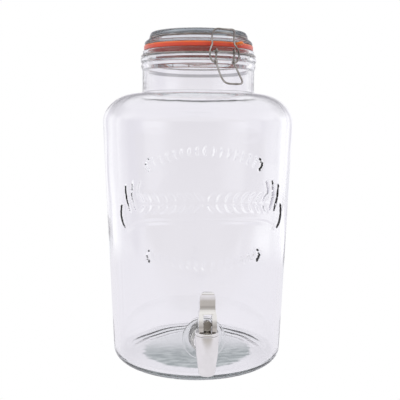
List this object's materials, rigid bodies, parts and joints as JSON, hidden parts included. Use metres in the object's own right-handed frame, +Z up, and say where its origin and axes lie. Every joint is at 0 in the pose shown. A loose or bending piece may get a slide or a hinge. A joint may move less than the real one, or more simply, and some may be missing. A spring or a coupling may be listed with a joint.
{
  "type": "detergent dispenser bottle",
  "caption": "Clear glass clip-top jar with rounded shoulder, rubber-sealed glass lid, wire toggle clamp and a lever tap near the base for dispensing liquid.",
  "frame": {"origin": "centre of the jar's resting face, on the jar's axis", "axes": "+Z up along the jar's axis, -Y towards the tap, +X to the right of a person facing the tap"},
  "size_m": [0.2144, 0.2553, 0.37],
  "materials": {
    "clear_glass": "clear pressed glass, gloss",
    "grey_glass": "thick pressed glass that looks grey-green, gloss",
    "orange_rubber": "satin moulded rubber",
    "steel_wire": "bright drawn wire",
    "stem_steel": "turned, satin",
    "tap_chrome": "polished chrome plate on moulded plastic",
    "silicone": "translucent white silicone, matt",
    "black_rubber": "matt"
  },
  "bodies": {
    "jar": {"glass_jar": "clear_glass", "tap_barrel": "tap_chrome", "tap_bonnet": "tap_chrome", "bonnet_oring": "black_rubber", "return_spring": "steel_wire", "outer_washer": "silicone", "inner_washer": "silicone", "lock_nut": "tap_chrome"},
    "collar": {"neck_hoop": "steel_wire"},
    "lid": {"lid_glass": "grey_glass", "gasket": "orange_rubber", "lid_hoop": "steel_wire"},
    "clamp": {"clamp_lever": "steel_wire"},
    "link": {"clamp_link": "steel_wire"},
    "valve": {"valve_stem": "stem_steel", "stem_oring": "black_rubber", "valve_plug": "silicone", "lever_pin": "steel_wire"},
    "lever": {"tap_lever": "tap_chrome"}
  },
  "joints": [
    {"name": "collar_turn", "type": "hinge", "parent": "jar", "child": "collar", "pos_m": [0, 0, 0.3433], "axis": [0, 0, 1], "continuous": true},
    {"name": "lid_hinge", "type": "hinge", "parent": "collar", "child": "lid", "pos_m": [-0.0227, 0.0641, 0.35], "axis": [-0.9426, -0.3338, 0], "range_deg": [0, 110]},
    {"name": "clamp_swing", "type": "hinge", "parent": "collar", "child": "clamp", "pos_m": [0.02287, -0.06457, 0.3435], "axis": [-0.9426, -0.3338, 0], "range_deg": [0, 100]},
    {"name": "link_swing", "type": "hinge", "parent": "clamp", "child": "link", "pos_m": [0.0225, -0.06353, 0.333], "axis": [-0.9426, -0.3338, 0], "range_deg": [-116, 0]},
    {"name": "valve_lift", "type": "slide", "parent": "jar", "child": "valve", "axis": [0, 0, 1], "range_m": [0, 0.00274], "stiffness_N_per_m": 400, "springref_m": -0.003, "deforming": ["return_spring"]},
    {"name": "tap_lever_tilt", "type": "hinge", "parent": "valve", "child": "lever", "pos_m": [0, -0.136, 0.0762], "axis": [1, 0, 0], "range_deg": [0, 35]}
  ],
  "couplings": [
    {"joint": "link_swing", "follows": "clamp_swing", "ratio": -1.15},
    {"joint": "tap_lever_tilt", "follows": "valve_lift", "rad_per_m": 222.2}
  ]
}
